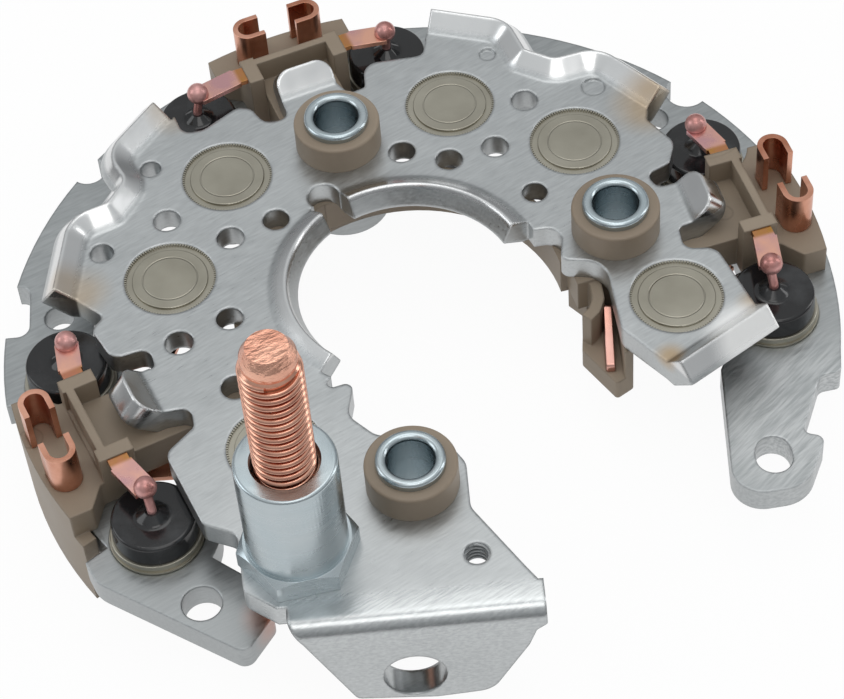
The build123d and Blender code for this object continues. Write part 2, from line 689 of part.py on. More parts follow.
def phase_terminal(side, upper_lead, lower_lead):
    """Terminal of one phase in its block's frame: open clip, weld tab above and inner strip below.

    The side is +1 or -1, and the two places are where the leads come through the terminal.
    """
    round_place = clip_end - clip_half_width
    straight = round_place - clip_tip
    inside = clip_half_width - copper_thickness
    clip = Pos(clip_centre, clip_tip + straight / 2) * Rectangle(2 * clip_half_width, straight)
    clip += Pos(clip_centre, round_place) * Circle(clip_half_width)
    clip -= Pos(clip_centre, clip_tip + straight / 2) * Rectangle(2 * inside, straight)
    clip -= Pos(clip_centre, round_place) * Circle(inside)
    clip &= Pos(clip_centre, (clip_tip + clip_end) / 2) * Rectangle(2 * clip_half_width, clip_end - clip_tip)
    body = prism(clip, base_level, clip_top)
    base_outer = clip_centre + clip_half_width - copper_thickness / 2
    base = Pos((riser_place + base_outer) / 2, base_low + strip_width / 2) \
        * Rectangle(base_outer - riser_place, strip_width)
    bar_middle = (bar_low + bar_high) / 2
    tab_root = (bar_inner + bar_outer) / 2
    step_width = bar_middle + copper_thickness / 2 - base_low
    base += Pos(tab_root, base_low + step_width / 2) * Rectangle(weld_tab_width, step_width)
    body += prism(base, base_level, base_level + copper_thickness)
    post = Pos(tab_root, bar_middle) * Rectangle(weld_tab_width, copper_thickness)
    body += prism(post, base_level, tab_level + copper_thickness)
    lead = (upper_lead[0], side * upper_lead[1])
    tab = Pos(tab_root, bar_middle + tab_root_length / 2) \
        * Rectangle(weld_tab_width, tab_root_length + copper_thickness)
    tab += strap([(tab_root, bar_high + weld_tab_width / 2), lead], weld_tab_reach_width)
    tab_top = tab_level + copper_thickness
    body += prism(tab, tab_level, tab_top) - Pos(*lead, 0) * weld_bead(tab_top)
    strip_middle = base_low + strip_width / 2
    riser = Pos(riser_place + copper_thickness / 2, strip_middle) * Rectangle(copper_thickness, strip_width)
    body += prism(riser, strip_level, base_level + copper_thickness)
    lead = (lower_lead[0], side * lower_lead[1])
    strip = strap([(riser_place + copper_thickness, strip_middle), elbow, lead], strip_width)
    strip += Pos(*lead) * Circle(eye_radius)
    strip -= Pos(*lead) * Circle(lead_radius)
    body += prism(strip, strip_level, strip_level + copper_thickness)
    body -= Pos(*lead, strip_level - bead_rise) * Sphere(bead_radius)
    return body if side > 0 else mirror(body, about=Plane.XZ)


def phase_terminals():
    """The six terminals in their places, two to a block."""
    terminals = []
    for number, angle in enumerate(block_angles):
        for side in (-1, 1):
            place = 2 * number + (side + 1) // 2
            upper_lead = seen_from_block(lead_tops[place], angle)
            lower_lead = seen_from_block(positive_diode_places[place], angle)
            terminals.append(place_block(phase_terminal(side, upper_lead, lower_lead), angle))
    return terminals


def end_strip():
    """Copper strip that stands in the end box, its top edge falling towards the front."""
    (x0, y0), (x1, y1) = end_strip_line
    length = hypot(x1 - x0, y1 - y0)
    side = [
        (0.0, end_strip_foot, 0.0), (length, end_strip_foot, 0.0), (length, end_strip_heights[1], 0.6),
        (0.0, end_strip_heights[0], 0.6),
    ]
    strip = extrude(Plane.XZ * rounded_face(side), amount=end_strip_width / 2, both=True)
    return Pos(x0, y0) * Rot(0, 0, degrees(atan2(y1 - y0, x1 - x0))) * strip


def export_all():
    """Write one STEP file for each piece."""
    os.makedirs("parts", exist_ok=True)
    pieces = {
        "negative_plate": negative_plate(),
        "positive_plate": positive_plate(),
        "insulator": insulator(),
        "output_stud": output_stud(),
        "spacer_nut": spacer_nut(),
    }
    for number, terminal in enumerate(phase_terminals(), 1):
        pieces[f"phase_terminal_{number}"] = terminal
    pieces["end_strip"] = end_strip()
    cup = diode_cup()
    potting = diode_potting()
    hanging_lead = diode_lead(positive_top - strip_level - copper_thickness)
    for number, (place, top) in enumerate(zip(negative_diode_places, lead_tops), 1):
        pieces[f"negative_diode_cup_{number}"] = stand(cup, place)
        pieces[f"negative_diode_potting_{number}"] = stand(potting, place)
        pieces[f"negative_diode_lead_{number}"] = leaning_lead(place, top)
    for number, place in enumerate(positive_diode_places, 1):
        pieces[f"positive_diode_cup_{number}"] = hang(cup, place)
        pieces[f"positive_diode_potting_{number}"] = hang(potting, place)
        pieces[f"positive_diode_lead_{number}"] = hang(hanging_lead, place)
    for number, place in enumerate(sleeve_places, 1):
        pieces[f"mounting_sleeve_{number}"] = Pos(*place) * sleeve()
        pieces[f"insulating_collar_{number}"] = Pos(*place) * collar()
    for name, shape in pieces.items():
        export_step(shape, f"parts/{name}.step")


if __name__ == "__main__":
    export_all()
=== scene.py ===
import math

import bmesh
import bpy
from mathutils import Matrix, Vector


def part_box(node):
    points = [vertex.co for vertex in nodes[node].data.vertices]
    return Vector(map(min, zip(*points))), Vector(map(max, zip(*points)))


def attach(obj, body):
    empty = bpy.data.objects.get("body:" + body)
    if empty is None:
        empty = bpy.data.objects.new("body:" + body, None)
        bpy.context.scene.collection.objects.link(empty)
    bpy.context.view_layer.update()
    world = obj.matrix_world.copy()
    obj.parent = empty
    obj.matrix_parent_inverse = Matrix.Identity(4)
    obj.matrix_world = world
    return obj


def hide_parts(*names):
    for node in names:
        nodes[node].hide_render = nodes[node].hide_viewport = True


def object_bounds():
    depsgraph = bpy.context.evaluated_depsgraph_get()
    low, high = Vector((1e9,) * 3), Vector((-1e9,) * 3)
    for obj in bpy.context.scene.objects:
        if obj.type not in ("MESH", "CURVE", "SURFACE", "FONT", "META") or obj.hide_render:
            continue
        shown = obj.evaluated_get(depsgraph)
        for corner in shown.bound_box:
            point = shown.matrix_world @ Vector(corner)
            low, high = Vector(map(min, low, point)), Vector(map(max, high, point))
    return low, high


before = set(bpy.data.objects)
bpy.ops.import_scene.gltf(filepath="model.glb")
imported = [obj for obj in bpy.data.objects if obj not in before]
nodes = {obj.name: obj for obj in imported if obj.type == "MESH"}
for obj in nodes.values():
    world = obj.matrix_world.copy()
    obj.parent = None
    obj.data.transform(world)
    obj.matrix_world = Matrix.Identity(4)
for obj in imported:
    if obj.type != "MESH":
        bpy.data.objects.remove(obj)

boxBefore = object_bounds()
mm = 0.001
print("frame loaded with", len(nodes), "nodes")


# Camera, floor and lamps

cameraSetup = {
    "target": (0.0, -12.0, 13.0),   # mm
    "distance": 372.5,
    "elevation": 51.25,
    "roll": -5.23,
    "lens": 118.05,
}


def makeCamera(setup):
    data = bpy.data.cameras.new("benchCamera")
    data.lens = setup["lens"]
    data.sensor_width = 36.0
    data.clip_start = 0.01
    data.clip_end = 10.0
    camera = bpy.data.objects.new("benchCamera", data)
    bpy.context.scene.collection.objects.link(camera)
    rise = math.radians(setup["elevation"])
    back = Vector((0.0, -math.cos(rise), math.sin(rise)))
    turn = (-back).to_track_quat("-Z", "Y").to_matrix().to_4x4()
    roll = Matrix.Rotation(math.radians(setup["roll"]), 4, "Z")
    place = Vector(setup["target"]) * mm + back * setup["distance"] * mm
    camera.matrix_world = Matrix.Translation(place) @ turn @ roll
    bpy.context.scene.camera = camera


makeCamera(cameraSetup)


lampSetup = {
    "softboxAbove": {"place": (20, 90, 430), "size": (260, 220), "power": 0.22, "colour": (1.0, 0.99, 0.97)},
    "softboxLeft": {"place": (-420, 30, 240), "size": (240, 260), "power": 0.32, "colour": (0.96, 0.98, 1.0)},
    "softboxFront": {"place": (20, -190, 430), "size": (240, 160), "power": 0.2, "colour": (1.0, 0.98, 0.96)},
    "stripRight": {"place": (380, 60, 170), "size": (80, 300), "power": 0.2, "colour": (1.0, 1.0, 1.0)},
}


def makeLamps(setup):
    for name, lamp in setup.items():
        data = bpy.data.lights.new(name, "AREA")
        data.shape = "RECTANGLE"
        data.size, data.size_y = lamp["size"][0] * mm, lamp["size"][1] * mm
        data.energy = lamp["power"]
        data.color = lamp["colour"]
        item = bpy.data.objects.new(name, data)
        place = Vector(lamp["place"]) * mm
        aim = Vector((0.0, 0.0, 0.005)) - place
        item.location = place
        item.rotation_mode = "QUATERNION"
        item.rotation_quaternion = aim.to_track_quat("-Z", "Y")
        bpy.context.scene.collection.objects.link(item)


makeLamps(lampSetup)
bpy.context.scene.view_settings.view_transform = "Standard"


def addNode(tree, kind, inputs=None, **settings):
    node = tree.nodes.new(kind)
    for name, value in settings.items():
        setattr(node, name, value)
    for name, value in (inputs or {}).items():
        socket = node.inputs[name]
        if isinstance(value, bpy.types.NodeSocket):
            tree.links.new(value, socket)
        else:
            socket.default_value = value
    return node


def addMath(tree, operation, first, second=0.0, clamp=False):
    node = addNode(tree, "ShaderNodeMath", {0: first, 1: second}, operation=operation, use_clamp=clamp)
    return node.outputs[0]


def mixColour(tree, share, first, second):
    node = addNode(tree, "ShaderNodeMix", data_type="RGBA")
    factor = [socket for socket in node.inputs if socket.type == "VALUE"][0]
    ends = [socket for socket in node.inputs if socket.type == "RGBA"]
    for socket, value in ((factor, share), (ends[0], first), (ends[1], second)):
        if isinstance(value, bpy.types.NodeSocket):
            tree.links.new(value, socket)
        else:
            socket.default_value = value
    return [socket for socket in node.outputs if socket.type == "RGBA"][0]


roomSetup = {
    "ceiling": (0.84, 0.86, 0.87, 1.0),
    "horizon": (0.18, 0.185, 0.19, 1.0),
    "seenByCamera": (1.0, 1.0, 1.0, 1.0),
    "floorColour": (0.93, 0.93, 0.93, 1.0),
    "floorShadow": 0.05,   # share of the lamps' shadow that shows on the floor
    "floorInMetal": 0.7,   # how far metal mirrors the floor as plain white
    "floorDrop": 0.2,      # mm under the lowest point
    "floorSize": 6000,
}


def makeRoom(setup):
    world = bpy.data.worlds.new("lightTent")
    world.use_nodes = True
    tree = world.node_tree
    tree.nodes.clear()
    coords = addNode(tree, "ShaderNodeTexCoord")
    height = addNode(tree, "ShaderNodeSeparateXYZ", {0: coords.outputs["Generated"]}).outputs["Z"]
    climb = addNode(tree, "ShaderNodeMapRange", {"Value": height, "From Min": 0.0, "From Max": 1.0},
                    interpolation_type="LINEAR").outputs["Result"]
    tentColour = mixColour(tree, climb, setup["horizon"], setup["ceiling"])
    ray = addNode(tree, "ShaderNodeLightPath")
    dull = addNode(tree, "ShaderNodeBackground", {"Color": tentColour, "Strength": 1.0})
    white = addNode(tree, "ShaderNodeBackground", {"Color": setup["seenByCamera"], "Strength": 1.0})
    mixed = addNode(tree, "ShaderNodeMixShader", {0: ray.outputs["Is Camera Ray"], 1: dull.outputs[0],
                                                  2: white.outputs[0]})
    addNode(tree, "ShaderNodeOutputWorld", {"Surface": mixed.outputs[0]})
    bpy.context.scene.world = world

    floorMaterial = bpy.data.materials.new("paleFloor")
    floorMaterial.use_nodes = True
    tree = floorMaterial.node_tree
    tree.nodes.clear()
    ray = addNode(tree, "ShaderNodeLightPath")
    card = addNode(tree, "ShaderNodeBsdfDiffuse", {"Color": setup["floorColour"]})
    glow = addNode(tree, "ShaderNodeEmission", {"Color": setup["seenByCamera"], "Strength": 1.0})
    seen = addMath(tree, "MAXIMUM", ray.outputs["Is Camera Ray"], ray.outputs["Is Transmission Ray"])
    share = addMath(tree, "MULTIPLY", seen, 1.0 - setup["floorShadow"])
    glossy = addMath(tree, "MULTIPLY", ray.outputs["Is Glossy Ray"], setup["floorInMetal"])
    share = addMath(tree, "MAXIMUM", share, glossy)
    mixed = addNode(tree, "ShaderNodeMixShader", {0: share, 1: card.outputs[0], 2: glow.outputs[0]})
    addNode(tree, "ShaderNodeOutputMaterial", {"Surface": mixed.outputs[0]})

    half = setup["floorSize"] * mm / 2
    level = boxBefore[0].z - setup["floorDrop"] * mm
    mesh = bpy.data.meshes.new("paleFloor")
    mesh.from_pydata([(-half, -half, level), (half, -half, level), (half, half, level), (-half, half, level)],
                     [], [(0, 1, 2, 3)])
    mesh.materials.append(floorMaterial)
    floor = bpy.data.objects.new("paleFloor", mesh)
    bpy.context.scene.collection.objects.link(floor)


makeRoom(roomSetup)
print("camera, lamps and floor in place")


# Parts that every finish shares

def startFinish(name):
    material = bpy.data.materials.new(name)
    material.use_nodes = True
    tree = material.node_tree
    shader = tree.nodes["Principled BSDF"]
    place = addNode(tree, "ShaderNodeTexCoord").outputs["Object"]
    return material, tree, shader, place


def noise(tree, place, scale, detail=3.0, turn=0.0, stretch=(1.0, 1.0, 1.0), rough=0.55):
    mapped = addNode(tree, "ShaderNodeMapping", {"Vector": place, "Rotation": (0.0, 0.0, math.radians(turn)),
                                                 "Scale": stretch}, vector_type="TEXTURE").outputs[0]
    return addNode(tree, "ShaderNodeTexNoise", {"Vector": mapped, "Scale": scale, "Detail": detail,
                                                "Roughness": rough}).outputs[0]


def remap(tree, value, low, high, newLow=0.0, newHigh=1.0, smooth=False):
    kind = "SMOOTHSTEP" if smooth else "LINEAR"
    return addNode(tree, "ShaderNodeMapRange", {"Value": value, "From Min": low, "From Max": high,
                                                "To Min": newLow, "To Max": newHigh},
                   interpolation_type=kind).outputs["Result"]


def near(tree, place, centre, inner, outer):
    away = addNode(tree, "ShaderNodeVectorMath", {0: place, 1: [c * mm for c in centre]},
                   operation="DISTANCE").outputs["Value"]
    return remap(tree, away, inner * mm, outer * mm, 1.0, 0.0, smooth=True)


def roundEdges(tree, radius):
    return addNode(tree, "ShaderNodeBevel", {"Radius": radius * mm}, samples=6).outputs["Normal"]


def bump(tree, height, strength, depth, normal=None):
    inputs = {"Height": height, "Strength": strength, "Distance": depth * mm}
    if normal is not None:
        inputs["Normal"] = normal
    return addNode(tree, "ShaderNodeBump", inputs).outputs["Normal"]


def paint(tree, shader, **sockets):
    for name, value in sockets.items():
        socket = shader.inputs[name]
        if isinstance(value, bpy.types.NodeSocket):
            tree.links.new(value, socket)
        else:
            socket.default_value = value


# Aluminium plates

upperPlateFinish = {
    "light": (0.61, 0.63, 0.635, 1.0),
    "polished": (0.80, 0.80, 0.80, 1.0),
    "bentHeights": (13.15, 13.9),   # mm, the flanges rise through this band
    "bendLength": 1.5,     # mm
    "dark": (0.38, 0.395, 0.40, 1.0),
    "brushTurn": 30.0,     # degrees, the brushing runs this way
    "brushRough": (0.27, 0.44),
    "polishedRough": 0.17,
    "amber": (0.50, 0.33, 0.15, 1.0),
    "stains": [             # x, y, z in mm, full out to, gone by
        ((-46.5, 3.5, 14.5), 1.5, 6.0), ((-33.0, 35.5, 14.5), 1.0, 5.0), ((35.5, 29.0, 14.0), 1.5, 7.0),
        ((36.5, 27.0, 13.0), 0.5, 4.0), ((45.5, -9.5, 13.5), 0.5, 3.5), ((33.0, -17.0, 13.5), 0.5, 3.0),
    ],
    "sheared": ((44.0, -15.0, 13.0), 3.5, 7.5),
    "shearedColour": (0.93, 0.93, 0.92, 1.0),
    "edgeRadius": 0.6,     # mm, as the light sees it
    "bendFrom": -49.5,     # mm, the front tab turns down from here
    "bendRough": 0.24,
}


def makeUpperPlateFinish(look):
    material, tree, shader, place = startFinish("brushedUpperPlate")
    fine = noise(tree, place, 3000.0, 4.0, look["brushTurn"], (8.0, 1.0, 1.0))
    broad = noise(tree, place, 55.0, 3.0, look["brushTurn"], (1.8, 1.0, 1.0))
    blotch = noise(tree, place, 28.0, 4.0)
    parts = addNode(tree, "ShaderNodeSeparateXYZ", {0: place})
    height = parts.outputs["Z"]
    low, high = look["bentHeights"]
    bent = remap(tree, height, low * mm, high * mm, smooth=True)
    tabBend = remap(tree, parts.outputs["Y"], look["bendFrom"] * mm,
                    (look["bendFrom"] - look["bendLength"]) * mm, smooth=True)
    flatShare = addMath(tree, "SUBTRACT", 1.0, bent)
    streak = addMath(tree, "MULTIPLY", remap(tree, fine, 0.35, 0.68), flatShare)
    shade = addMath(tree, "ADD", addMath(tree, "MULTIPLY", streak, 0.35),
                    addMath(tree, "MULTIPLY", broad, 0.65))
    colour = mixColour(tree, shade, look["dark"], look["light"])
    colour = mixColour(tree, addMath(tree, "MULTIPLY", bent, 0.7), colour, look["polished"])
    amberShare = None
    for centre, inner, outer in look["stains"]:
        one = near(tree, place, centre, inner, outer)
        amberShare = one if amberShare is None else addMath(tree, "MAXIMUM", amberShare, one)
    amberShare = addMath(tree, "MULTIPLY", amberShare, remap(tree, blotch, 0.3, 0.6))
    colour = mixColour(tree, addMath(tree, "MULTIPLY", amberShare, 0.7), colour, look["amber"])
    rough = remap(tree, addMath(tree, "ADD", fine, addMath(tree, "MULTIPLY", blotch, 0.5)), 0.5, 1.0,
                  look["brushRough"][0], look["brushRough"][1])
    rough = addNode(tree, "ShaderNodeMix", {0: bent, 2: rough, 3: look["polishedRough"]}).outputs[0]
    rough = addNode(tree, "ShaderNodeMix", {0: tabBend, 2: rough, 3: look["bendRough"]}).outputs[0]
    torn = near(tree, place, *look["sheared"])
    colour = mixColour(tree, torn, colour, look["shearedColour"])
    metal = addMath(tree, "SUBTRACT", 1.0, addMath(tree, "MULTIPLY", torn, 0.6))
    tear = noise(tree, place, 1500.0, 5.0, -58.0, (7.0, 1.0, 1.0))
    grain = addMath(tree, "ADD", addMath(tree, "MULTIPLY", streak, 0.35),
                    addMath(tree, "MULTIPLY", addMath(tree, "MULTIPLY", torn, tear), 1.6))
    wavy = noise(tree, place, 120.0, 2.0)
    soft = bump(tree, wavy, 0.25, 0.35, roundEdges(tree, look["edgeRadius"]))
    paint(tree, shader, **{"Base Color": colour, "Metallic": metal, "Roughness": rough,
                           "Normal": bump(tree, grain, 0.35, 0.035, soft)})
    return material


lowerPlateFinishAndShade = {
    # painted shade: both tones sit darker than the upper plate's to stand for the shade the lower plate lies
    # in; the mix between them is the brushed grain
    "light": (0.52, 0.54, 0.545, 1.0),
    "dark": (0.27, 0.285, 0.29, 1.0),
    "brushTurn": 26.0,
    "rough": (0.28, 0.5),
    "edgeRadius": 0.45,    # mm
    "pink": ((-23.0, -46.5, 3.0), 0.8, 4.5),
    "rose": (0.55, 0.36, 0.31, 1.0),
    "scoredColour": (0.85, 0.86, 0.86, 1.0),
    "scratched": ((50.0, -22.0, 2.0), 8.0, 18.0),
}


def makeLowerPlateFinishAndShade(look):
    material, tree, shader, place = startFinish("brushedLowerPlatePaintedShade")
    fine = noise(tree, place, 2600.0, 4.0, look["brushTurn"], (9.0, 1.0, 1.0))
    coarse = noise(tree, place, 2400.0, 3.0, 44.0, (12.0, 1.0, 1.0))
    blotch = noise(tree, place, 30.0, 4.0)
    scratched = near(tree, place, *look["scratched"])
    scored = addMath(tree, "MULTIPLY", remap(tree, coarse, 0.38, 0.62), scratched)
    shade = addMath(tree, "ADD", addMath(tree, "MULTIPLY", remap(tree, fine, 0.3, 0.7), 0.4),
                    addMath(tree, "MULTIPLY", blotch, 0.6))
    # brushed grain between the two tones, at their painted-shade level
    colour = mixColour(tree, shade, look["dark"], look["light"])
    colour = mixColour(tree, addMath(tree, "MULTIPLY", scored, 0.35), colour, look["scoredColour"])
    blush = near(tree, place, *look["pink"])
    colour = mixColour(tree, addMath(tree, "MULTIPLY", blush, 0.8), colour, look["rose"])
    rough = remap(tree, addMath(tree, "ADD", fine, addMath(tree, "MULTIPLY", blotch, 0.5)), 0.5, 1.0,
                  look["rough"][0], look["rough"][1])
    grain = addMath(tree, "ADD", addMath(tree, "MULTIPLY", fine, 0.3), addMath(tree, "MULTIPLY", scored, 0.6))
    normal = bump(tree, grain, 0.35, 0.04, roundEdges(tree, look["edgeRadius"]))
    paint(tree, shader, **{"Base Color": colour, "Metallic": 1.0, "Roughness": rough, "Normal": normal})
    return material


# Tan moulding

mouldingFinish = {
    "colour": (0.235, 0.182, 0.130, 1.0),
    "paler": (0.300, 0.240, 0.178, 1.0),
    "rough": (0.38, 0.55),
    "edgeRadius": 0.45,    # mm
    "ejectorMarks": [(-53.5, -17.5, 8.5), (44.0, 10.5, 8.5), (-14.5, 43.5, 8.5)],   # mm
    "ejectorRadius": 1.6,
    "ejectorShade": (0.12, 0.09, 0.06, 1.0),
}


def makeMouldingFinish(look):
    material, tree, shader, place = startFinish("glassFilledMoulding")
    flow = noise(tree, place, 45.0, 4.0)
    fibre = noise(tree, place, 1300.0, 3.0)
    colour = mixColour(tree, remap(tree, flow, 0.3, 0.7), look["colour"], look["paler"])
    colour = mixColour(tree, remap(tree, fibre, 0.55, 0.75, 0.0, 0.25), colour, look["paler"])
    ring = None
    for centre in look["ejectorMarks"]:
        away = addNode(tree, "ShaderNodeVectorMath", {0: place, 1: [c * mm for c in centre]},
                       operation="DISTANCE").outputs["Value"]
        off = addMath(tree, "ABSOLUTE", addMath(tree, "SUBTRACT", away, look["ejectorRadius"] * mm))
        one = remap(tree, off, 0.05 * mm, 0.2 * mm, 1.0, 0.0)
        ring = one if ring is None else addMath(tree, "MAXIMUM", ring, one)
    colour = mixColour(tree, addMath(tree, "MULTIPLY", ring, 0.3), colour, look["ejectorShade"])
    rough = remap(tree, flow, 0.3, 0.7, look["rough"][0], look["rough"][1])
    height = addMath(tree, "SUBTRACT", addMath(tree, "MULTIPLY", fibre, 0.3), ring)
    soft = bump(tree, height, 0.3, 0.06, roundEdges(tree, look["edgeRadius"]))
    paint(tree, shader, **{"Base Color": colour, "Roughness": rough, "Normal": soft})
    return material


# Plated steel, nickel and copper

steelFinish = {
    "colour": (0.43, 0.50, 0.53, 1.0),
    "warmer": (0.49, 0.54, 0.56, 1.0),
    "rough": (0.2, 0.34),
}


def makeSteelFinish(look):
    material, tree, shader, place = startFinish("zincPlating")
    cloud = noise(tree, place, 90.0, 3.0)
    turned = noise(tree, place, 900.0, 3.0, 0.0, (20.0, 20.0, 1.0))
    colour = mixColour(tree, remap(tree, cloud, 0.35, 0.65), look["colour"], look["warmer"])
    wear = addMath(tree, "ADD", addMath(tree, "MULTIPLY", cloud, 0.6), addMath(tree, "MULTIPLY", turned, 0.4))
    rough = remap(tree, wear, 0.35, 0.65, look["rough"][0], look["rough"][1])
    paint(tree, shader, **{"Base Color": colour, "Metallic": 1.0, "Roughness": rough,
                           "Normal": bump(tree, turned, 0.15, 0.02)})
    return material


nickelFinish = {
    "colour": (0.33, 0.31, 0.255, 1.0),
    "paler": (0.43, 0.41, 0.345, 1.0),
    "rough": (0.3, 0.44),
    "knurl": (0.45, 0.43, 0.37, 1.0),
    "innerRing": (3.8, 0.16),     # mm: radius and half width of the pressed ring
    "edgeShade": (5.9, 6.35),     # mm: the knurl's colour starts and is full
}


def makeNickelFinish(look, name, centre):
    material, tree, shader, place = startFinish(name)
    cloud = noise(tree, place, 110.0, 3.0)
    matt = noise(tree, place, 1500.0, 2.0)
    parts = addNode(tree, "ShaderNodeSeparateXYZ", {0: place})
    across = addMath(tree, "SUBTRACT", parts.outputs["X"], centre[0])
    along = addMath(tree, "SUBTRACT", parts.outputs["Y"], centre[1])
    away = addMath(tree, "SQRT", addMath(tree, "ADD", addMath(tree, "MULTIPLY", across, across),
                                         addMath(tree, "MULTIPLY", along, along)))
    ringAt, ringHalf = look["innerRing"]
    off = addMath(tree, "ABSOLUTE", addMath(tree, "SUBTRACT", away, ringAt * mm))
    ring = remap(tree, off, 0.0, ringHalf * mm, 1.0, 0.0, smooth=True)
    edge = remap(tree, away, look["edgeShade"][0] * mm, look["edgeShade"][1] * mm)
    colour = mixColour(tree, remap(tree, cloud, 0.3, 0.7), look["colour"], look["paler"])
    colour = mixColour(tree, addMath(tree, "MULTIPLY", edge, 0.6), colour, look["knurl"])
    rough = remap(tree, cloud, 0.3, 0.7, look["rough"][0], look["rough"][1])
    height = addMath(tree, "SUBTRACT", addMath(tree, "MULTIPLY", matt, 0.1), ring)
    paint(tree, shader, **{"Base Color": colour, "Metallic": 1.0, "Roughness": rough,
                           "Normal": bump(tree, height, 0.7, 0.09)})
    return material


terminalFinish = {
    "bright": (0.82, 0.45, 0.33, 1.0),
    "tarnished": (0.50, 0.21, 0.13, 1.0),
    "rough": (0.2, 0.38),
    "amber": (0.50, 0.26, 0.05, 1.0),
    "pink": (0.62, 0.35, 0.36, 1.0),
    "tabHeights": (11.9, 13.3),       # mm
    "amberEnds": (8.5, 9.3),          # mm sideways from the block's middle line
    "tabFrom": (51.6, 51.8),          # mm out from the ring's centre, the clips start there
}
blockAngles = [13.78, 108.33, 202.28]   # degrees round the ring
stripFinish = dict(terminalFinish, bright=(0.80, 0.47, 0.40, 1.0), tarnished=(0.60, 0.31, 0.25, 1.0))


def makeTerminalFinish(look, name, angle):
    material, tree, shader, place = startFinish(name)
    cloud = noise(tree, place, 150.0, 4.0)
    drawn = noise(tree, place, 1600.0, 3.0, 0.0, (1.0, 1.0, 12.0))
    colour = mixColour(tree, remap(tree, cloud, 0.35, 0.7), look["tarnished"], look["bright"])
    inBlock = addNode(tree, "ShaderNodeMapping", {
        "Vector": place, "Rotation": (0.0, 0.0, math.radians(angle))}, vector_type="TEXTURE").outputs[0]
    parts = addNode(tree, "ShaderNodeSeparateXYZ", {0: inBlock})
    height = parts.outputs["Z"]
    sideways = addMath(tree, "ABSOLUTE", parts.outputs["Y"])
    low, high = look["tabHeights"]
    onTab = addMath(tree, "MULTIPLY", remap(tree, height, low * mm, (low + 0.1) * mm),
                    remap(tree, height, (high - 0.1) * mm, high * mm, 1.0, 0.0))
    clipStart, clipFull = look["tabFrom"]
    inward = remap(tree, parts.outputs["X"], clipStart * mm, clipFull * mm, 1.0, 0.0)
    onTab = addMath(tree, "MULTIPLY", onTab, inward)
    scorched = remap(tree, cloud, 0.4, 0.62)
    amber = mixColour(tree, scorched, look["amber"], look["tarnished"])
    pink = mixColour(tree, scorched, look["pink"], look["bright"])
    amberEnd, pinkStart = look["amberEnds"]
    heated = mixColour(tree, remap(tree, sideways, amberEnd * mm, pinkStart * mm, smooth=True), amber, pink)
    colour = mixColour(tree, onTab, colour, heated)
    rough = remap(tree, cloud, 0.3, 0.7, look["rough"][0], look["rough"][1])
    paint(tree, shader, **{"Base Color": colour, "Metallic": 1.0, "Roughness": rough,
                           "Normal": bump(tree, drawn, 0.2, 0.03)})
    return material


beadFinish = {
    "pink": (0.72, 0.40, 0.38, 1.0),
    "dark": (0.44, 0.19, 0.17, 1.0),
    "rough": (0.24, 0.42),
}


def makeBeadFinish(look):
    material, tree, shader, place = startFinish("weldBead")
    cloud = noise(tree, place, 380.0, 3.0)
    colour = mixColour(tree, remap(tree, cloud, 0.35, 0.7), look["dark"], look["pink"])
    rough = remap(tree, cloud, 0.3, 0.7, look["rough"][0], look["rough"][1])
    paint(tree, shader, **{"Base Color": colour, "Metallic": 0.6, "Roughness": rough,
                           "Normal": bump(tree, cloud, 0.35, 0.12)})
    return material


studFinish = {
    "bright": (0.86, 0.49, 0.36, 1.0),
    "deep": (0.58, 0.27, 0.19, 1.0),
    "rough": (0.14, 0.26),
    "shearedFrom": 52.2,   # mm
}


def makeStudFinish(look):
    material, tree, shader, place = startFinish("machinedCopper")
    cloud = noise(tree, place, 200.0, 4.0)
    chatter = noise(tree, place, 1100.0, 5.0, 25.0, (2.2, 1.0, 1.0))
    height = addNode(tree, "ShaderNodeSeparateXYZ", {0: place}).outputs["Z"]
    tip = remap(tree, height, look["shearedFrom"] * mm, (look["shearedFrom"] + 0.6) * mm)
    colour = mixColour(tree, remap(tree, cloud, 0.3, 0.7), look["deep"], look["bright"])
    rough = remap(tree, cloud, 0.3, 0.7, look["rough"][0], look["rough"][1])
    torn = addMath(tree, "MULTIPLY", tip, chatter)
    paint(tree, shader, **{"Base Color": colour, "Metallic": 1.0, "Roughness": rough,
                           "Normal": bump(tree, torn, 0.8, 0.3)})
    return material


pottingFinish = {
    "colour": (0.012, 0.012, 0.013, 1.0),
    "dust": (0.05, 0.052, 0.055, 1.0),
    "rough": (0.07, 0.22),
}


def makePottingFinish(look):
    material, tree, shader, place = startFinish("blackPotting")
    cloud = noise(tree, place, 160.0, 4.0)
    dip = noise(tree, place, 70.0, 2.0)
    colour = mixColour(tree, remap(tree, cloud, 0.5, 0.8), look["colour"], look["dust"])
    rough = remap(tree, cloud, 0.35, 0.75, look["rough"][0], look["rough"][1])
    paint(tree, shader, **{"Base Color": colour, "Roughness": rough, "Normal": bump(tree, dip, 0.3, 0.4)})
    return material


finishes = {
    "upperPlate": makeUpperPlateFinish(upperPlateFinish),
    "lowerPlate": makeLowerPlateFinishAndShade(lowerPlateFinishAndShade),
    "moulding": makeMouldingFinish(mouldingFinish),
    "steel": makeSteelFinish(steelFinish),
    "strip": makeTerminalFinish(stripFinish, "stripCopper", 0.0),
    "bead": makeBeadFinish(beadFinish),
    "stud": makeStudFinish(studFinish),
    "potting": makePottingFinish(pottingFinish),
}

cupCentres = {}
for name in nodes:
    if "diode_cup" in name:
        low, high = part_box(name)
        cupCentres[name] = ((low.x + high.x) / 2, (low.y + high.y) / 2)
        finishes[name] = makeNickelFinish(nickelFinish, "nickel_" + name, cupCentres[name])
# A centre far outside the part leaves only the rim's colour
finishes["knurl"] = makeNickelFinish(nickelFinish, "nickelKnurl", (10.0, 10.0))
for number in range(1, 7):
    blockAngle = blockAngles[(number - 1) // 2]
    copper = makeTerminalFinish(terminalFinish, f"drawnCopper{number}", blockAngle)
    finishes[f"phase_terminal_{number}"] = copper
print("finishes made")


# Give every CAD node its finish

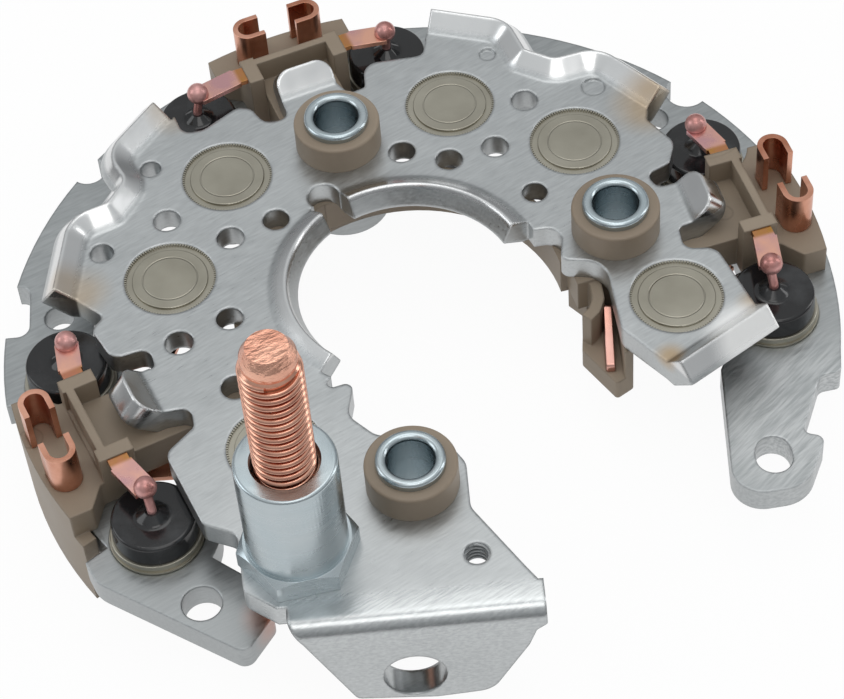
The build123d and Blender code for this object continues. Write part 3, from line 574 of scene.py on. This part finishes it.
finishByStart = [
    ("positive_plate", "upperPlate"), ("negative_plate", "lowerPlate"), ("insulator", "moulding"),
    ("insulating_collar", "moulding"), ("mounting_sleeve", "steel"), ("spacer_nut", "steel"),
    ("output_stud", "stud"), ("end_strip", "strip"),
    ("negative_diode_potting", "potting"), ("positive_diode_potting", "potting"),
    ("negative_diode_lead", "bead"), ("positive_diode_lead", "bead"),
]


def finishFor(name):
    if name in finishes:
        return finishes[name]
    return next(finishes[finish] for start, finish in finishByStart if name.startswith(start))


for name, node in nodes.items():
    for place in range(len(node.data.materials)):
        node.data.materials[place] = finishFor(name)


# Pieces with softened edges: merged copies that stand for their nodes

edgeSetup = {
    "positive_plate": {"width": 0.28, "slot": "aluminium_sheet"},
    "negative_plate": {"width": 0.25, "slot": "aluminium_sheet"},
    "insulator": {"width": 0.16, "slot": "tan_plastic"},
    "spacer_nut": {"width": 0.18, "slot": "zinc_steel"},
    "end_strip": {"width": 0.15, "slot": "copper"},
}
for number in range(1, 7):
    edgeSetup[f"phase_terminal_{number}"] = {"width": 0.12, "slot": "copper"}


sharpAngle = math.radians(32)


def softenEdges(name, width, slot):
    mesh = nodes[name].data.copy()
    if "custom_normal" in mesh.attributes:
        mesh.attributes.remove(mesh.attributes["custom_normal"])
    work = bmesh.new()
    work.from_mesh(mesh)
    bmesh.ops.remove_doubles(work, verts=work.verts, dist=0.002 * mm)
    bmesh.ops.dissolve_limit(work, angle_limit=math.radians(0.5), verts=work.verts, edges=work.edges)
    for face in work.faces:
        face.smooth = True
    for edge in work.edges:
        edge.smooth = not (len(edge.link_faces) == 2 and edge.calc_face_angle(0.0) > sharpAngle)
    work.to_mesh(mesh)
    work.free()
    piece = bpy.data.objects.new(name + "_softened", mesh)
    bpy.context.scene.collection.objects.link(piece)
    bevel = piece.modifiers.new("edgeRound", "BEVEL")
    bevel.width = width * mm
    bevel.segments = 2
    bevel.limit_method = "ANGLE"
    bevel.angle_limit = sharpAngle
    bevel.use_clamp_overlap = True
    bevel.harden_normals = True
    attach(piece, "root")
    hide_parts(name)
    return piece


for name, setup in edgeSetup.items():
    softenEdges(name, **setup)
print("edges softened on", len(edgeSetup), "pieces")


# Repeated detail: the stud's thread and the knurl round each diode cup

def startTree(name, sockets):
    tree = bpy.data.node_groups.new(name, "GeometryNodeTree")
    for label, kind in sockets:
        tree.interface.new_socket(label, in_out="INPUT", socket_type=kind)
    tree.interface.new_socket("Geometry", in_out="OUTPUT", socket_type="NodeSocketGeometry")
    return tree, tree.nodes.new("NodeGroupInput").outputs, tree.nodes.new("NodeGroupOutput").inputs


def finishTree(tree, geometry, given, result):
    real = addNode(tree, "GeometryNodeRealizeInstances", {"Geometry": geometry}).outputs["Geometry"]
    painted = addNode(tree, "GeometryNodeSetMaterial", {"Geometry": real, "Material": given["Material"]})
    tree.links.new(painted.outputs["Geometry"], result["Geometry"])


def plainPiece(name, tree, values, points=()):
    start = bpy.data.meshes.new(name + "Start")
    start.from_pydata(points, [], [])
    holder = bpy.data.objects.new(name, start)
    bpy.context.scene.collection.objects.link(holder)
    builder = holder.modifiers.new("build", "NODES")
    builder.node_group = tree
    for item in tree.interface.items_tree:
        if item.in_out == "INPUT" and item.name in values:
            builder[item.identifier] = values[item.name]
    depsgraph = bpy.context.evaluated_depsgraph_get()
    plain = bpy.data.meshes.new_from_object(holder.evaluated_get(depsgraph), depsgraph=depsgraph)
    holder.modifiers.clear()
    holder.data = plain
    plain.name = name
    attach(holder, "root")
    print(name, "has", len(plain.polygons), "faces")
    return holder


threadSetup = {
    "rootRadius": 3.25,    # mm
    "depth": 0.73,         # mm outwards from the root
    "crestHalf": 0.1,
    "rootHalf": 0.56,
    "pitch": 1.25,
    "low": 30.6,
    "high": 51.5,
    "coreLow": 13.2,       # mm, the core is slimmed from here
}
tappedSetup = {
    "rootRadius": 1.67,
    "depth": -0.27,        # inwards
    "crestHalf": 0.05,
    "rootHalf": 0.3,
    "pitch": 0.7,
    "low": 9.7,
    "high": 12.7,
    "place": (4.6, -45.8),
}


def makeThreadTree():
    tree, given, result = startTree("threadRidge", [
        ("Root Radius", "NodeSocketFloat"), ("Depth", "NodeSocketFloat"), ("Crest Half", "NodeSocketFloat"),
        ("Root Half", "NodeSocketFloat"), ("Turns", "NodeSocketFloat"), ("Height", "NodeSocketFloat"),
        ("Place", "NodeSocketVector"), ("Material", "NodeSocketMaterial"),
    ])
    helix = addNode(tree, "GeometryNodeCurveSpiral", {
        "Resolution": 64, "Rotations": given["Turns"], "Start Radius": given["Root Radius"],
        "End Radius": given["Root Radius"], "Height": given["Height"], "Reverse": True}).outputs["Curve"]
    upright = addNode(tree, "GeometryNodeSetCurveNormal", {"Curve": helix}, mode="Z_UP").outputs["Curve"]
    corners = {}
    for number, (reach, half, side) in enumerate([
            (0.0, "Root Half", 1.0), (given["Depth"], "Crest Half", 1.0),
            (given["Depth"], "Crest Half", -1.0), (0.0, "Root Half", -1.0)], 1):
        along = addMath(tree, "MULTIPLY", given[half], side)
        corner = addNode(tree, "ShaderNodeCombineXYZ", {"X": reach, "Y": along})
        corners[f"Point {number}"] = corner.outputs[0]
    ridge = addNode(tree, "GeometryNodeCurvePrimitiveQuadrilateral", corners, mode="POINTS").outputs["Curve"]
    swept = addNode(tree, "GeometryNodeCurveToMesh", {
        "Curve": upright, "Profile Curve": ridge, "Fill Caps": True}).outputs["Mesh"]
    moved = addNode(tree, "GeometryNodeTransform", {
        "Geometry": swept, "Translation": given["Place"]}).outputs["Geometry"]
    finishTree(tree, moved, given, result)
    return tree


def makeThread(name, setup, x, y, finish):
    height = setup["high"] - setup["low"]
    thread = plainPiece(name, makeThreadTree(), {
        "Root Radius": setup["rootRadius"] * mm, "Depth": setup["depth"] * mm,
        "Crest Half": setup["crestHalf"] * mm, "Root Half": setup["rootHalf"] * mm,
        "Turns": height / setup["pitch"], "Height": height * mm,
        "Place": (x, y, setup["low"] * mm), "Material": finish})
    reach = max((Vector((v.co.x - x, v.co.y - y)).length for v in thread.data.vertices))
    print(name, "reaches out to", round(reach / mm, 2), "mm")


def makeStud(setup):
    low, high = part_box("output_stud")
    middle = Vector(((low.x + high.x) / 2, (low.y + high.y) / 2, 0.0))
    mesh = nodes["output_stud"].data.copy()
    if "custom_normal" in mesh.attributes:
        mesh.attributes.remove(mesh.attributes["custom_normal"])
    work = bmesh.new()
    work.from_mesh(mesh)
    for vertex in work.verts:
        spoke = Vector((vertex.co.x - middle.x, vertex.co.y - middle.y, 0.0))
        threaded = setup["coreLow"] * mm < vertex.co.z < (setup["high"] + 0.3) * mm
        if threaded and spoke.length > setup["rootRadius"] * mm:
            spoke = spoke.normalized() * setup["rootRadius"] * mm
            vertex.co.x, vertex.co.y = middle.x + spoke.x, middle.y + spoke.y
    bmesh.ops.remove_doubles(work, verts=work.verts, dist=0.002 * mm)
    for face in work.faces:
        face.smooth = True
    for edge in work.edges:
        edge.smooth = not (len(edge.link_faces) == 2 and edge.calc_face_angle(0.0) > math.radians(35))
    work.to_mesh(mesh)
    work.free()
    core = bpy.data.objects.new("studCore", mesh)
    bpy.context.scene.collection.objects.link(core)
    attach(core, "root")
    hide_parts("output_stud")
    makeThread("studThread", setup, middle.x, middle.y, finishes["stud"])


makeStud(threadSetup)
makeThread("tappedThread", tappedSetup, tappedSetup["place"][0] * mm, tappedSetup["place"][1] * mm,
           finishes["upperPlate"])


knurlSetup = {
    "count": 100,
    "radius": 6.24,               # mm
    "tooth": (0.3, 0.21, 0.27),   # mm outwards, round the rim and up
    "sunk": 0.02,                 # mm under the face
}


def makeKnurlTree():
    tree, given, result = startTree("cupKnurl", [
        ("Places", "NodeSocketGeometry"), ("Count", "NodeSocketInt"), ("Radius", "NodeSocketFloat"),
        ("Tooth", "NodeSocketVector"), ("Material", "NodeSocketMaterial"),
    ])
    ring = addNode(tree, "GeometryNodeMeshCircle", {
        "Vertices": given["Count"], "Radius": given["Radius"]}).outputs["Mesh"]
    tooth = addNode(tree, "GeometryNodeMeshCube", {"Size": given["Tooth"]}).outputs["Mesh"]
    spoke = addNode(tree, "GeometryNodeInputPosition").outputs["Position"]
    turned = addNode(tree, "FunctionNodeAlignRotationToVector", {"Vector": spoke}, axis="X")
    teeth = addNode(tree, "GeometryNodeInstanceOnPoints", {
        "Points": ring, "Instance": tooth, "Rotation": turned.outputs["Rotation"]}).outputs["Instances"]
    rings = addNode(tree, "GeometryNodeInstanceOnPoints", {
        "Points": given["Places"], "Instance": teeth}).outputs["Instances"]
    finishTree(tree, rings, given, result)
    return tree


def makeKnurls(setup):
    inset = (setup["tooth"][2] / 2 + setup["sunk"]) * mm
    points = []
    for name, (x, y) in cupCentres.items():
        low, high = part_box(name)
        level = high.z - inset if name.startswith("positive") else low.z + inset
        points.append((x, y, level))
    knurl = plainPiece("cupKnurls", makeKnurlTree(), {
        "Count": setup["count"], "Radius": setup["radius"] * mm,
        "Tooth": [size * mm for size in setup["tooth"]], "Material": finishes["knurl"]}, points)


makeKnurls(knurlSetup)
